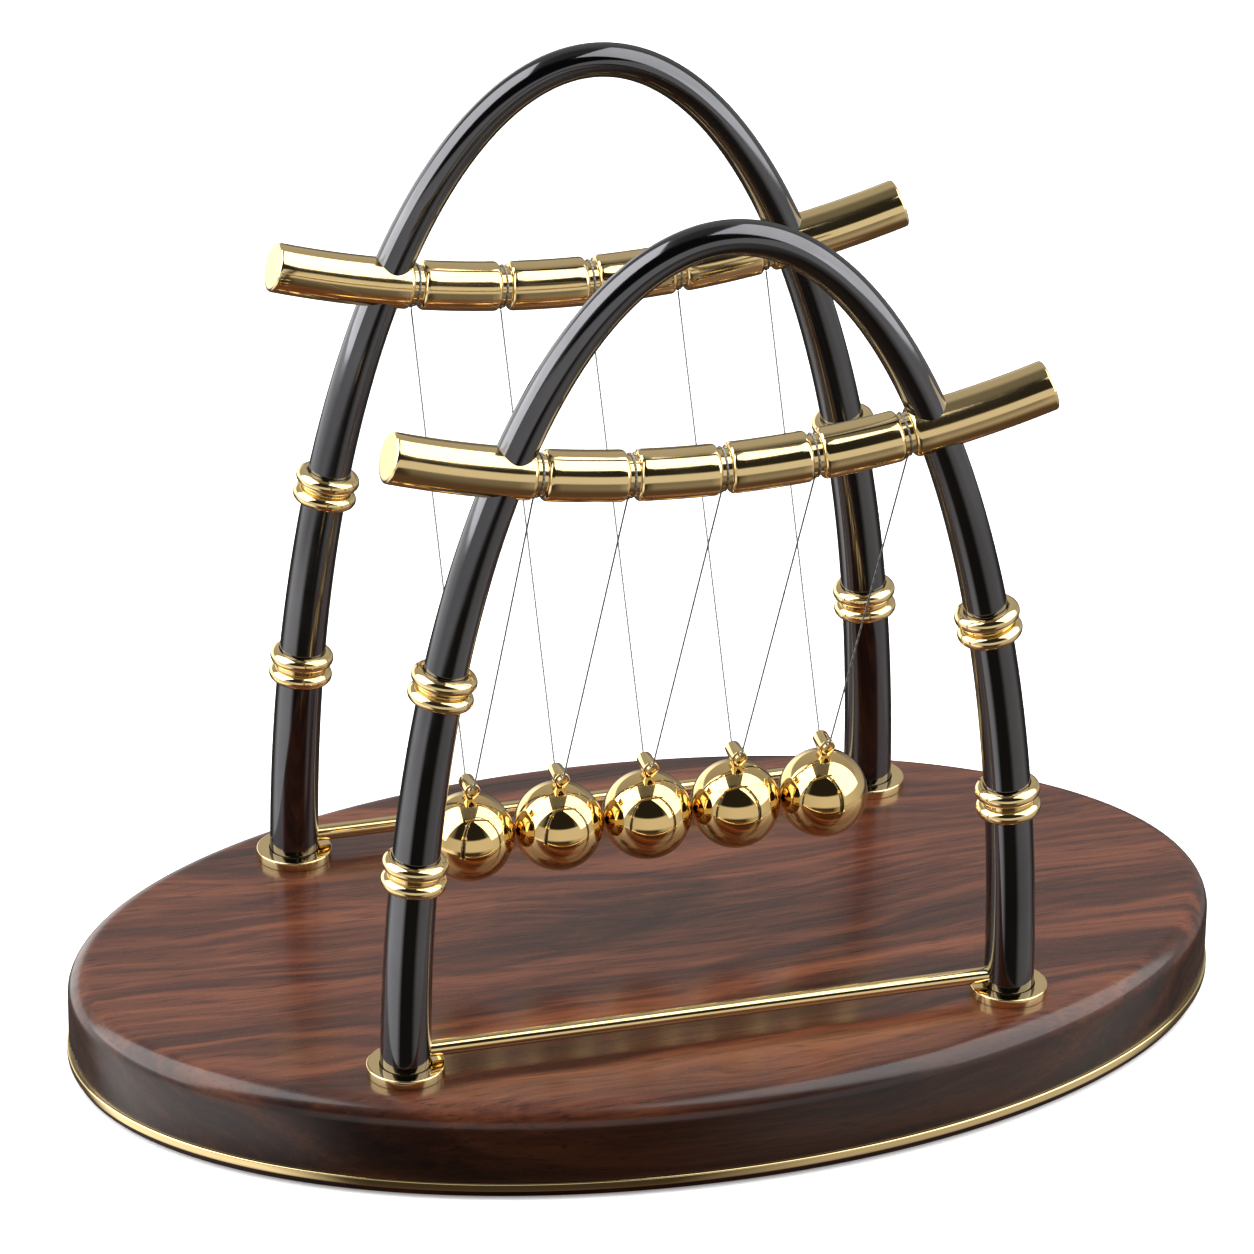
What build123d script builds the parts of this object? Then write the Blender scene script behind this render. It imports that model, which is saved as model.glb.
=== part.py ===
from build123d import *
import os
from math import asin, cos, pi, sin, sqrt

# A desk cradle: five balls hung in a row from two crossbars. Each crossbar is carried
# by an arch of tapered tube, and both arches stand on an oval wooden plinth.
# Millimetres. +X runs along the row of balls, -Y is the front and +Z is up.
# The origin is at the middle of the underside.

# ---- Plinth -----------------------------------------------------------------
PLINTH_LENGTH = 260.0
PLINTH_WIDTH = 158.0
PLINTH_HEIGHT = 21.5  # from the table to the top face
TOP_EDGE_RADIUS = 5.0
BAND_HEIGHT = 2.0
BAND_DEPTH = 3.0  # from its outer face to its inner face
BAND_PROUD = 0.4
BAND_EDGE_RADIUS = 0.3
LIP_HEIGHT = 1.6  # wood that shows below the band
LIP_INSET = 0.5
FELT_THICKNESS = 1.0
FELT_PROUD = 0.3
FELT_MARGIN = 8.0
RING_FIT = 0.05  # clearance inside the band and round the felt

# ---- Arches -----------------------------------------------------------------
ARCH_TO_NECK = 6.44  # along X, from the middle of an outer neck to where the arch crosses the bar
ARCH_RISE = 186.0  # middle of the tube at the top, above the plinth
ARCH_FULLNESS = 2.1  # 2 would be half an ellipse, more is squarer
ARCH_SPACING = 100.5  # between the front arch and the back one
TUBE_FOOT_DIAMETER = 11.0
TUBE_TOP_DIAMETER = 7.6
TAPER_BIAS = 1.2  # above 1 keeps the lower part thick for longer
TUBE_WALL = 1.2
LEG_SECTIONS = 8
TOP_SECTIONS = 25

# ---- Fittings on the arches -------------------------------------------------
FLANGE_LIP = 3.0  # beyond the tube
FLANGE_THICKNESS = 2.1
FLANGE_EDGE_RADIUS = 0.35
COLLAR_HEIGHTS = {"lower": 48.0, "upper": 91.0}  # above the plinth
COLLAR_PROUD = 1.93  # beyond the tube at the lower collar
BEAD_DIAMETER = 3.4
BEAD_PITCH = 4.1
COLLAR_WAIST = 0.6  # metal between the bore and the waist
COLLAR_FIT = 0.1
FLANGE_FIT = 0.1
RAIL_DIAMETER = 3.6
RAIL_HEIGHT = 4.7  # middle of the rail above the plinth
RAIL_TENON_DIAMETER = 2.0
TENON_TO_SCREW = 0.9  # between a tenon's end and the screw in the plug
TENON_FIT = 0.05
BUTT_GAP = 0.03  # between a trimmed end and the round face that it meets

# ---- Crossbars --------------------------------------------------------------
BAR_DIAMETER = 11.0
BAR_OVERHANG = 30.9  # along X, from the middle of an outer ball to the bar's end
BAR_MID_HEIGHT = 134.0  # lowest point of its middle line above the plinth
BAR_SAG_RADIUS = 238.0
BAR_EDGE_RADIUS = 0.7
NECK_DEPTH = 1.1
NECK_WIDTH = 2.2
NECK_ROOT = 1.0  # how far each neck is let into the lengths beside it
SHOULDER_LAND = 0.05  # flat left between a rounded shoulder and its neck
SPIGOT_REACH = 11.0  # each way from the bar's middle line
SPIGOT_FIT = 0.05

# ---- Balls and thread -------------------------------------------------------
BALL_COUNT = 5
BALL_DIAMETER = 20.0
BALL_GAP = 0.3
BALL_CLEARANCE = 17.0  # between the plinth and the balls
EYE_RISE = 2.4  # middle of the eyelet above the top of its ball
EYE_DIAMETER = 3.6
EYE_BORE = 2.2
EYE_LENGTH = 5.6
EYE_MOUTH_RADIUS = 0.25
NECK_TOP_WIDTH = 2.6
NECK_TOP_LENGTH = 3.6
NECK_FOOT_WIDTH = 2.0
NECK_FOOT_LENGTH = 2.4
EYE_PIN_DIAMETER = 1.6
EYE_PIN_LENGTH = 3.0
EYE_PIN_FIT = 0.05
THREAD_DIAMETER = 0.4
THREAD_FIT = 0.03  # between a loop and the neck that it lies on
KNOT_DIAMETER = 0.8
KNOT_LENGTH = 1.2
KNOT_BITE = 0.15  # how far the knot and the loop are drawn together
KNOT_GAP = 0.1  # between the knot and the thread that swings below it
THREAD_RISE = 0.35  # thread in the eyelet, above the middle of the bore
THREAD_OVERHANG = 0.5  # from the eyelet's mouth to the thread's corner
THREAD_BEND = 1.2

# ---- Screws under the plinth ------------------------------------------------
SCREW_DIAMETER = 4.0
SCREW_CLEARANCE = 0.4
SCREW_HEAD_DIAMETER = 7.2
SCREW_HEAD_HEIGHT = 2.6
SCREW_SOCKET = 2.5  # across the flats
SCREW_SOCKET_DEPTH = 1.4
SCREW_SEAT_HEIGHT = 10.0  # above the table
COUNTERBORE_DIAMETER = 9.2
WASHER_DIAMETER = 8.6
WASHER_THICKNESS = 0.8
PLUG_LENGTH = 16.0
PLUG_FIT = 0.05
THREAD_ENGAGEMENT = 10.0
TAPPED_EXTRA_DEPTH = 2.0
TAPPED_FIT = 0.05

# ---- What follows from those sizes ------------------------------------------
ball_pitch = BALL_DIAMETER + BALL_GAP
ball_xs = [(n - (BALL_COUNT - 1) / 2) * ball_pitch for n in range(BALL_COUNT)]
ball_radius = BALL_DIAMETER / 2
ball_z = PLINTH_HEIGHT + BALL_CLEARANCE + ball_radius
eye_height = ball_radius + EYE_RISE
eye_z = ball_z + eye_height
arch_y = ARCH_SPACING / 2
flange_diameter = TUBE_FOOT_DIAMETER + 2 * FLANGE_LIP
neck_diameter = BAR_DIAMETER - 2 * NECK_DEPTH
thread_radius = THREAD_DIAMETER / 2
loop_radius = neck_diameter / 2 + THREAD_FIT + thread_radius
bar_centre_z = PLINTH_HEIGHT + BAR_MID_HEIGHT + BAR_SAG_RADIUS
bar_end = asin((ball_xs[-1] + BAR_OVERHANG) / BAR_SAG_RADIUS)
tenon_length = (TUBE_FOOT_DIAMETER - SCREW_DIAMETER) / 2 - TENON_TO_SCREW
knot_offset = loop_radius + thread_radius + KNOT_DIAMETER / 2 - KNOT_BITE
ROWS = {"front": -1, "back": 1}
SIDES = {"left": -1, "right": 1}
OVERCUT = 1.0  # how far a cutter runs past the face that it cuts


# ---- Curves of the arch and the crossbar ------------------------------------
def arch_angle(height):
    """Position along the arch, 0 at the right foot and pi/2 at the top."""
    return asin((height / ARCH_RISE) ** (ARCH_FULLNESS / 2))


def arch_point(angle):
    """Middle of the tube: x, and height above the plinth."""
    return half_span * cos(angle), ARCH_RISE * abs(sin(angle)) ** (2 / ARCH_FULLNESS)


def arch_direction(angle):
    x, height = arch_point(angle)
    across = -ARCH_FULLNESS * height ** (ARCH_FULLNESS - 1) / ARCH_RISE**ARCH_FULLNESS
    return Vector(across, 0, 2 * x / half_span**2).normalized()


def arch_plane(angle):
    x, height = arch_point(angle)
    return Plane((x, 0, PLINTH_HEIGHT + height), x_dir=(0, 1, 0), z_dir=arch_direction(angle))


def tube_radius(angle):
    share = (arch_point(angle)[1] / ARCH_RISE) ** TAPER_BIAS
    return (TUBE_FOOT_DIAMETER + (TUBE_TOP_DIAMETER - TUBE_FOOT_DIAMETER) * share) / 2


def arch_rod(start, end, inset, sections):
    """The stretch of the arch between two positions, smaller by inset all round."""
    step = (end - start) / (sections - 1)
    stations = [start + step * n for n in range(sections)]
    return loft([arch_plane(a) * Circle(tube_radius(a) - inset) for a in stations])


def bar_height(x):
    """Middle line of the crossbar, above the plinth."""
    return BAR_MID_HEIGHT + BAR_SAG_RADIUS - sqrt(BAR_SAG_RADIUS**2 - x**2)


def bar_plane(swing, radius):
    """A plane across the crossbar: its origin is at this radius from the sag's centre."""
    along = (cos(swing), 0, sin(swing))
    origin = (radius * sin(swing), 0, bar_centre_z - radius * cos(swing))
    return Plane(origin, x_dir=(0, 1, 0), z_dir=along)


def groove_swing(ball_x):
    """Where on the crossbar a knot hangs straight above its ball."""
    return asin(ball_x / (BAR_SAG_RADIUS + knot_offset))


# The arch crosses the crossbar just outside the outer neck, and that sets how wide it stands.
crossing_x = BAR_SAG_RADIUS * sin(groove_swing(ball_xs[-1])) + ARCH_TO_NECK
crossing_height = bar_height(crossing_x)
crossing = arch_angle(crossing_height)
half_span = crossing_x / cos(crossing)
tenon_x = half_span - TUBE_FOOT_DIAMETER / 2 + tenon_length  # its far end
spigot_low = arch_angle(crossing_height - SPIGOT_REACH)
spigot_high = arch_angle(crossing_height + SPIGOT_REACH)


def on_side(shape, side, row):
    """Puts a piece made on the right, in the middle plane, on its own arch."""
    placed = shape if SIDES[side] > 0 else mirror(shape, about=Plane.YZ)
    return Pos(0, ROWS[row] * arch_y, 0) * placed


# ---- Plinth and what is under it --------------------------------------------
def oval(inset, bottom, top):
    """A plate with the plinth's outline, smaller all round by inset."""
    outline = Ellipse(PLINTH_LENGTH / 2 - inset, PLINTH_WIDTH / 2 - inset)
    return Pos(0, 0, bottom) * extrude(outline, top - bottom)


lip_bottom = FELT_PROUD
band_bottom = lip_bottom + LIP_HEIGHT
band_top = band_bottom + BAND_HEIGHT
band_inset = BAND_DEPTH - BAND_PROUD
foot_places = [(s * half_span, r * arch_y) for r in ROWS.values() for s in SIDES.values()]


def at_feet(shape):
    return [Pos(x, y, 0) * shape for x, y in foot_places]


def post(diameter, bottom, top):
    """An upright cylinder on the Z axis, between two heights."""
    return Pos(0, 0, bottom) * extrude(Circle(diameter / 2), top - bottom)


def plinth():
    body = oval(0, band_top, PLINTH_HEIGHT)
    body = fillet(body.edges().sort_by(Axis.Z)[-1], TOP_EDGE_RADIUS)
    hole = post(SCREW_DIAMETER + SCREW_CLEARANCE, band_top, PLINTH_HEIGHT + OVERCUT)
    counterbore = post(COUNTERBORE_DIAMETER, band_top - OVERCUT, SCREW_SEAT_HEIGHT)
    return body - at_feet(hole + counterbore)


def brass_band():
    ring = oval(-BAND_PROUD, band_bottom, band_top)
    ring = fillet(ring.edges(), BAND_EDGE_RADIUS)
    return ring - oval(band_inset, band_bottom - OVERCUT, band_top + OVERCUT)


def foot_plate():
    body = oval(LIP_INSET, lip_bottom, band_bottom)
    body += oval(band_inset + RING_FIT, band_bottom, band_top)
    body -= oval(FELT_MARGIN - RING_FIT, lip_bottom - OVERCUT, FELT_THICKNESS)
    return body - at_feet(post(COUNTERBORE_DIAMETER, lip_bottom - OVERCUT, band_top + OVERCUT))


def felt_pad():
    return oval(FELT_MARGIN, 0, FELT_THICKNESS)


# ---- Arches -----------------------------------------------------------------
def bar_stretch(start, end, radius):
    """A plain round rod on the crossbar's middle line, between two positions on it."""
    degrees = 180 / pi
    path = CenterArc((0, 0), BAR_SAG_RADIUS, start * degrees - 90, (end - start) * degrees)
    path = Pos(0, 0, bar_centre_z) * (Plane.XZ.location * path)
    return sweep(bar_plane(start, BAR_SAG_RADIUS) * Circle(radius), path=path)


def bar_sleeve():
    """The right half of the crossbar, a little thicker, to trim a tube with."""
    return bar_stretch(0, bar_end, BAR_DIAMETER / 2 + BUTT_GAP)


def level_rod(diameter, reach):
    """A round rod along X at the rail's height, to this distance each way."""
    rod = Cylinder(diameter / 2, 2 * reach, rotation=(0, 90, 0))
    return Pos(0, 0, PLINTH_HEIGHT + RAIL_HEIGHT) * rod


def tenon_hole():
    return level_rod(RAIL_TENON_DIAMETER + 2 * TENON_FIT, tenon_x + TENON_FIT)


def leg():
    outer = arch_rod(0, crossing, 0, LEG_SECTIONS)
    bore = arch_rod(0, crossing, TUBE_WALL, LEG_SECTIONS)
    return outer - bore - bar_sleeve() - tenon_hole()


def arch_top():
    outer = arch_rod(crossing, pi - crossing, 0, TOP_SECTIONS)
    bore = arch_rod(crossing, pi - crossing, TUBE_WALL, TOP_SECTIONS)
    trim = bar_sleeve()
    return outer - bore - trim - mirror(trim, about=Plane.YZ)


def joint_spigot():
    return arch_rod(spigot_low, spigot_high, TUBE_WALL + SPIGOT_FIT, LEG_SECTIONS)


def leg_plug():
    body = arch_rod(0, arch_angle(PLUG_LENGTH), TUBE_WALL + PLUG_FIT, LEG_SECTIONS)
    tapped_top = PLINTH_HEIGHT + THREAD_ENGAGEMENT + TAPPED_EXTRA_DEPTH
    bore = post(SCREW_DIAMETER + 2 * TAPPED_FIT, PLINTH_HEIGHT - OVERCUT, tapped_top)
    return body - Pos(half_span, 0, 0) * bore - tenon_hole()


def foot_flange():
    disc = post(flange_diameter, PLINTH_HEIGHT, PLINTH_HEIGHT + FLANGE_THICKNESS)
    disc = fillet(disc.edges().sort_by(Axis.Z)[-1], FLANGE_EDGE_RADIUS)
    hole_diameter = TUBE_FOOT_DIAMETER + 2 * FLANGE_FIT
    hole = post(hole_diameter, PLINTH_HEIGHT - OVERCUT, PLINTH_HEIGHT + FLANGE_THICKNESS + OVERCUT)
    return Pos(half_span, 0, 0) * (disc - hole)


def bead_collar(height):
    """Two round beads joined by a narrow waist, on the tube's own slope."""
    angle = arch_angle(height)
    bore = tube_radius(angle) + COLLAR_FIT
    bead_radius = BEAD_DIAMETER / 2
    ring = tube_radius(arch_angle(COLLAR_HEIGHTS["lower"])) + COLLAR_PROUD - bead_radius
    beads = [Pos(0, 0, s * BEAD_PITCH / 2) * Torus(ring, bead_radius) for s in (-1, 1)]
    body = Cylinder(bore + COLLAR_WAIST, BEAD_PITCH) + beads[0] + beads[1]
    body -= Cylinder(bore, BEAD_PITCH + BEAD_DIAMETER + 2 * OVERCUT)
    return arch_plane(angle).location * body


def rail():
    """A rod trimmed to the two legs, with a thinner tenon into each of them."""
    rod = level_rod(RAIL_DIAMETER, half_span)
    above_rail = arch_angle(RAIL_HEIGHT + RAIL_DIAMETER)
    tube = arch_rod(0, above_rail, -BUTT_GAP, LEG_SECTIONS)
    return rod - tube - mirror(tube, about=Plane.YZ) + level_rod(RAIL_TENON_DIAMETER, tenon_x)


# ---- Crossbars --------------------------------------------------------------
def bar_segment(start, end, start_radius, end_radius):
    """One full-size length of the crossbar, with its two rims rounded."""
    rod = bar_stretch(start, end, BAR_DIAMETER / 2)
    rod = fillet(rod.edges().sort_by(Axis.X)[0], start_radius)
    return fillet(rod.edges().sort_by(Axis.X)[-1], end_radius)


def crossbar():
    shoulder = NECK_DEPTH - SHOULDER_LAND
    half_neck = NECK_WIDTH / 2 / BAR_SAG_RADIUS
    necks = [groove_swing(x) for x in ball_xs]
    starts = [-bar_end] + [swing + half_neck for swing in necks]
    ends = [swing - half_neck for swing in necks] + [bar_end]
    first_radii = [BAR_EDGE_RADIUS] + [shoulder] * BALL_COUNT
    bar = [bar_segment(*lengths) for lengths in zip(starts, ends, first_radii, first_radii[::-1])]
    neck = Cylinder(neck_diameter / 2, NECK_WIDTH + 2 * NECK_ROOT)
    places = [bar_plane(swing, BAR_SAG_RADIUS).location for swing in necks]
    bar = bar[0].fuse(*bar[1:], *[place * neck for place in places])
    hole = arch_rod(spigot_low, spigot_high, TUBE_WALL, LEG_SECTIONS)
    return bar - hole - mirror(hole, about=Plane.YZ)


def knot_place(x):
    swing = groove_swing(x)
    radius = BAR_SAG_RADIUS + knot_offset
    return Vector(x, 0, bar_centre_z - radius * cos(swing))


def thread_loop(x):
    """One turn of thread in a neck, with the knot that the ball's thread swings from."""
    place = bar_plane(groove_swing(x), BAR_SAG_RADIUS).location
    knot = Cylinder(KNOT_DIAMETER / 2, KNOT_LENGTH, rotation=(90, 0, 0))
    return place * Torus(loop_radius, thread_radius) + Pos(*knot_place(x)) * knot


# ---- Balls ------------------------------------------------------------------
def ball(x):
    hole_bottom = ball_radius - EYE_PIN_LENGTH - EYE_PIN_FIT
    hole = post(EYE_PIN_DIAMETER + 2 * EYE_PIN_FIT, hole_bottom, ball_radius + OVERCUT)
    return Pos(x, 0, ball_z) * (Sphere(ball_radius) - hole)


def eyelet(x):
    """A short open barrel on a tapered neck, with a pin that goes into the ball."""
    ball_top = -EYE_RISE
    barrel = Cylinder(EYE_DIAMETER / 2, EYE_LENGTH, rotation=(90, 0, 0))
    barrel = fillet(barrel.edges().filter_by(GeomType.CIRCLE), EYE_MOUTH_RADIUS)
    upper = Rectangle(NECK_TOP_WIDTH, NECK_TOP_LENGTH)
    lower = Pos(0, 0, ball_top) * Rectangle(NECK_FOOT_WIDTH, NECK_FOOT_LENGTH)
    body = barrel + loft([lower, upper])
    body += post(EYE_PIN_DIAMETER, ball_top - EYE_PIN_LENGTH, ball_top + EYE_MOUTH_RADIUS)
    body -= Cylinder(EYE_BORE / 2, EYE_LENGTH + OVERCUT, rotation=(90, 0, 0))
    ball_body = Pos(0, 0, -eye_height) * Sphere(ball_radius + BUTT_GAP)
    pin = post(EYE_PIN_DIAMETER, ball_top - EYE_PIN_LENGTH, 0)
    return Pos(x, 0, eye_z) * (body - (ball_body - pin))


def thread_route(x):
    """Corners of one thread: front knot, through the eyelet, back knot."""
    knot = knot_place(x)
    corner = Vector(x, EYE_LENGTH / 2 + THREAD_OVERHANG, eye_z + THREAD_RISE)
    back_knot = Vector(x, arch_y, knot.Z)
    start = back_knot + (corner - back_knot).normalized() * (KNOT_DIAMETER / 2 + KNOT_GAP)
    back = [start, corner]
    return [Vector(p.X, -p.Y, p.Z) for p in back] + back[::-1]


def thread(x):
    points = thread_route(x)
    path = FilletPolyline(*points, radius=[THREAD_BEND, THREAD_BEND])
    section = Plane(points[0], z_dir=points[1] - points[0]) * Circle(thread_radius)
    tube = sweep(section, path=path)
    share = tube.volume / (pi * thread_radius**2 * path.length)
    print(f"thread {path.length:.2f} mm, radii {THREAD_BEND} {THREAD_BEND}, volume share {share:.4f}")
    return tube


# ---- Screws -----------------------------------------------------------------
def base_screw():
    head_top = SCREW_SEAT_HEIGHT - WASHER_THICKNESS
    head_bottom = head_top - SCREW_HEAD_HEIGHT
    head = post(SCREW_HEAD_DIAMETER, head_bottom, head_top)
    shank = post(SCREW_DIAMETER, head_top, PLINTH_HEIGHT + THREAD_ENGAGEMENT)
    hexagon = RegularPolygon(SCREW_SOCKET / 2, 6, major_radius=False)
    return head + shank - Pos(0, 0, head_bottom) * extrude(hexagon, SCREW_SOCKET_DEPTH)


def base_washer():
    ring = post(WASHER_DIAMETER, SCREW_SEAT_HEIGHT - WASHER_THICKNESS, SCREW_SEAT_HEIGHT)
    return ring - post(SCREW_DIAMETER + SCREW_CLEARANCE, 0, SCREW_SEAT_HEIGHT + OVERCUT)


# ---- The whole object -------------------------------------------------------
def all_parts():
    parts = {
        "plinth": plinth(),
        "brass_band": brass_band(),
        "foot_plate": foot_plate(),
        "felt_pad": felt_pad(),
        "base_screws": Compound(children=at_feet(base_screw())),
        "base_washers": Compound(children=at_feet(base_washer())),
    }
    one_leg, one_plug, one_flange, one_spigot = leg(), leg_plug(), foot_flange(), joint_spigot()
    collars = {place: bead_collar(height) for place, height in COLLAR_HEIGHTS.items()}
    one_top, one_bar, one_rail = arch_top(), crossbar(), rail()
    loops = [thread_loop(x) for x in ball_xs]
    for row, way in ROWS.items():
        moved = Pos(0, way * arch_y, 0)
        parts[f"{row}_arch_top"] = moved * one_top
        parts[f"{row}_crossbar"] = moved * one_bar
        parts[f"{row}_rail"] = moved * one_rail
        parts[f"{row}_thread_loops"] = Compound(children=[moved * loop for loop in loops])
        for side in SIDES:
            corner = f"{row}_{side}"
            parts[f"{corner}_leg"] = on_side(one_leg, side, row)
            parts[f"{corner}_leg_plug"] = on_side(one_plug, side, row)
            parts[f"{corner}_foot_flange"] = on_side(one_flange, side, row)
            parts[f"{corner}_joint_spigot"] = on_side(one_spigot, side, row)
            for place, collar in collars.items():
                parts[f"{corner}_{place}_collar"] = on_side(collar, side, row)
    for number, x in enumerate(ball_xs, 1):
        parts[f"ball_{number}"] = ball(x)
        parts[f"eyelet_{number}"] = eyelet(x)
        parts[f"thread_{number}"] = thread(x)
    return parts


os.makedirs("parts", exist_ok=True)
for name, shape in all_parts().items():
    export_step(shape, f"parts/{name}.step")
for x in ball_xs:
    place = knot_place(x)
    print(f"hinge line of the ball at x {x:.3f}: z {place.Z:.4f}")
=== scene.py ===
from functools import cache
from math import asin, cos, pi, radians, sin, sqrt

import bmesh
import bpy
from bpy.props import FloatProperty, FloatVectorProperty, IntProperty, PointerProperty
from mathutils import Matrix, Vector


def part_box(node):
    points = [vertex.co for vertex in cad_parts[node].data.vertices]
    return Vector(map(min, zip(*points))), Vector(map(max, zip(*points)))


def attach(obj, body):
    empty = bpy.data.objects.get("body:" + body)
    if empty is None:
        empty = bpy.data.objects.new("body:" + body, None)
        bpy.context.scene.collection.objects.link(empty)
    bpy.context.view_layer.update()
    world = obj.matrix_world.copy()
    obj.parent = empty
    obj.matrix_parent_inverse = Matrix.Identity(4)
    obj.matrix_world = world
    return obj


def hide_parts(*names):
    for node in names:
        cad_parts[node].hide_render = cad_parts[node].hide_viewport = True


bl_info = {
    "name": "Desk Cradle Pieces",
    "version": (1, 0, 0),
    "blender": (4, 5, 0),
    "location": "View3D > Sidebar > Cradle",
    "description": "Builds the pieces of a five-ball desk cradle round its packed frame",
    "category": "Add Mesh",
}

# Metres. +X runs along the row of balls, -Y is the front and +Z is up.
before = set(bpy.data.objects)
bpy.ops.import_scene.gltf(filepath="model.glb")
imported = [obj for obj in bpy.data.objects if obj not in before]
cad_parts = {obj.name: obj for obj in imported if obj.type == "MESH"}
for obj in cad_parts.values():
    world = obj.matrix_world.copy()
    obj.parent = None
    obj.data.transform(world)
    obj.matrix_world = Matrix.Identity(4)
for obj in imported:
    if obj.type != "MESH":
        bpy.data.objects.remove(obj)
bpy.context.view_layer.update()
HOLDING_BODY = "frame"
ROWS = {"front": -1, "back": 1}
SIDES = {"left": -1, "right": 1}
BALLS = range(1, 6)


@cache
def box_of(node):
    """The lowest and highest corner of a CAD node, which is measured only once."""
    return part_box(node)


def middle(node):
    low, high = box_of(node)
    return (low + high) / 2


def extent(node):
    low, high = box_of(node)
    return high - low


# ---- What a user would change
def length(label, about, default):
    return FloatProperty(
        name=label, description=about, default=default, min=0.0, unit="LENGTH", precision=5
    )


def plain(label, about, default):
    return FloatProperty(name=label, description=about, default=default, min=0.0)


def colour(label, about, default):
    return FloatVectorProperty(
        name=label, description=about, default=default, size=3, min=0.0, max=1.0, subtype="COLOR"
    )


class CradleSizes(bpy.types.PropertyGroup):
    plinth_edge: length("Plinth edge", "Radius of the plinth's rounded top edge", 0.005)
    band_depth: length("Band depth", "Thickness of the brass band, seen from above", 0.003)
    felt_margin: length("Felt margin", "Wood that shows round the felt", 0.008)
    arch_fullness: plain("Arch fullness", "2 is half an ellipse, more is squarer", 2.1)
    tube_foot: length("Tube at the foot", "Diameter of the arch tube at its foot", 0.011)
    tube_top: length("Tube at the top", "Diameter of the arch tube at its top", 0.0076)
    taper_bias: plain("Taper bias", "Above 1 keeps the lower part thick for longer", 1.2)
    tube_wall: length("Tube wall", "Wall thickness of the arch tube", 0.0012)
    bar_sag: length("Bar sag radius", "Radius of the crossbar's middle line", 0.238)
    bar_overhang: length("Bar overhang", "From an outer ball's middle to the bar's end", 0.0309)
    bar_edge: length("Bar edge", "Radius of the rim at the crossbar's ends", 0.0007)
    neck_depth: length("Neck depth", "How deep the crossbar's necks are", 0.0011)
    neck_width: length("Neck width", "Width of the floor of each neck", 0.0022)
    shoulder: length("Shoulder", "Radius of the shoulders beside each neck", 0.00105)
    bead: length("Bead", "Thickness of each bead of a collar", 0.0034)
    bead_pitch: length("Bead pitch", "From bead to bead in a collar", 0.0041)
    bead_proud: length("Bead ring", "How far the beads stand out from the tube", 0.00193)
    waist: length("Collar waist", "Metal over the tube between two beads", 0.0006)
    collar_fit: length("Collar fit", "Clearance between a collar and its tube", 0.0001)
    eye_outer: length("Eyelet", "Outer diameter of an eyelet's barrel", 0.0036)
    eye_bore: length("Eyelet bore", "Diameter of the hole through an eyelet", 0.0022)
    eye_length: length("Eyelet length", "Length of an eyelet's barrel", 0.0056)
    eye_rise: length("Eyelet rise", "From the top of a ball to the middle of its eyelet", 0.0024)
    thread: length("Thread", "Diameter of the thread", 0.0004)
    thread_rise: length("Thread rise", "Thread above the middle of the bore", 0.00035)
    thread_overhang: length("Thread overhang", "From an eyelet's mouth to the corner", 0.0005)
    knot: length("Knot", "Diameter of a knot", 0.0008)
    facets: IntProperty(name="Facets", description="Round a tube", default=72, min=12, max=256)


class CradleFinishes(bpy.types.PropertyGroup):
    wood_dark: colour("Dark wood", "Colour of the wood's darkest lines", (0.014, 0.0036, 0.0020))
    wood_middle: colour("Middle wood", "Colour of most of the wood", (0.060, 0.0148, 0.0060))
    wood_light: colour("Light wood", "Colour of the wood's palest lines", (0.150, 0.044, 0.0165))
    brass: colour("Brass", "Colour of the bars, beads and rails", (0.86, 0.665, 0.335))
    ball_brass: colour("Ball brass", "Colour of the balls", (0.83, 0.60, 0.26))
    nickel: colour("Black nickel", "Colour of the tubes", (0.105, 0.105, 0.112))
    steel: colour("Steel", "Colour of the screws and plugs", (0.52, 0.52, 0.54))
    thread: colour("Thread", "Colour of the thread", (0.26, 0.26, 0.265))
    felt: colour("Felt", "Colour of the felt", (0.020, 0.018, 0.017))
    floor: colour("Floor", "Colour of the floor", (0.86, 0.86, 0.86))


def sizes():
    return bpy.context.scene.cradle_sizes


def finishes():
    return bpy.context.scene.cradle_finishes


# ---- Curves of the arch and the crossbar
LOOP_GAP = 0.00003  # from the floor of a neck to the turn of thread round it
KNOT_BITE = 0.00015  # how far a knot sinks into its turn of thread
HALVINGS = 40


def plinth_top():
    return box_of("plinth")[1].z


def arch_rise():
    return box_of("front_arch_top")[1].z - plinth_top() - sizes().tube_top / 2


def half_span():
    return middle("front_right_foot_flange").x


def row_y(row):
    return middle(f"{row}_right_foot_flange").y


def arch_point(angle):
    """Middle of the tube in its upright plane. The angle is 0 at the right foot, pi at the left."""
    height = arch_rise() * abs(sin(angle)) ** (2 / sizes().arch_fullness)
    return Vector((half_span() * cos(angle), 0, height))


def arch_angle(height):
    return asin((height / arch_rise()) ** (sizes().arch_fullness / 2))


def arch_place(angle, y):
    """Stands a ring across the tube at that angle, on the arch at that y."""
    point = arch_point(angle)
    full = sizes().arch_fullness
    across = -full * point.z ** (full - 1) / arch_rise() ** full
    along = Vector((across, 0, 2 * point.x / half_span() ** 2)).normalized()
    return placing(Vector((point.x, y, plinth_top() + point.z)), along)


def placing(origin, along):
    """A matrix that turns +Z to a direction in the XZ plane, and carries the origin there."""
    side = Vector((0, 1, 0))
    turn = Matrix((side.cross(along), side, along)).transposed()
    return Matrix.Translation(origin) @ turn.to_4x4()


def tube_radius(angle):
    share = (arch_point(angle).z / arch_rise()) ** sizes().taper_bias
    return (sizes().tube_foot + (sizes().tube_top - sizes().tube_foot) * share) / 2


def bar_radius():
    return extent("front_crossbar").y / 2


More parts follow.
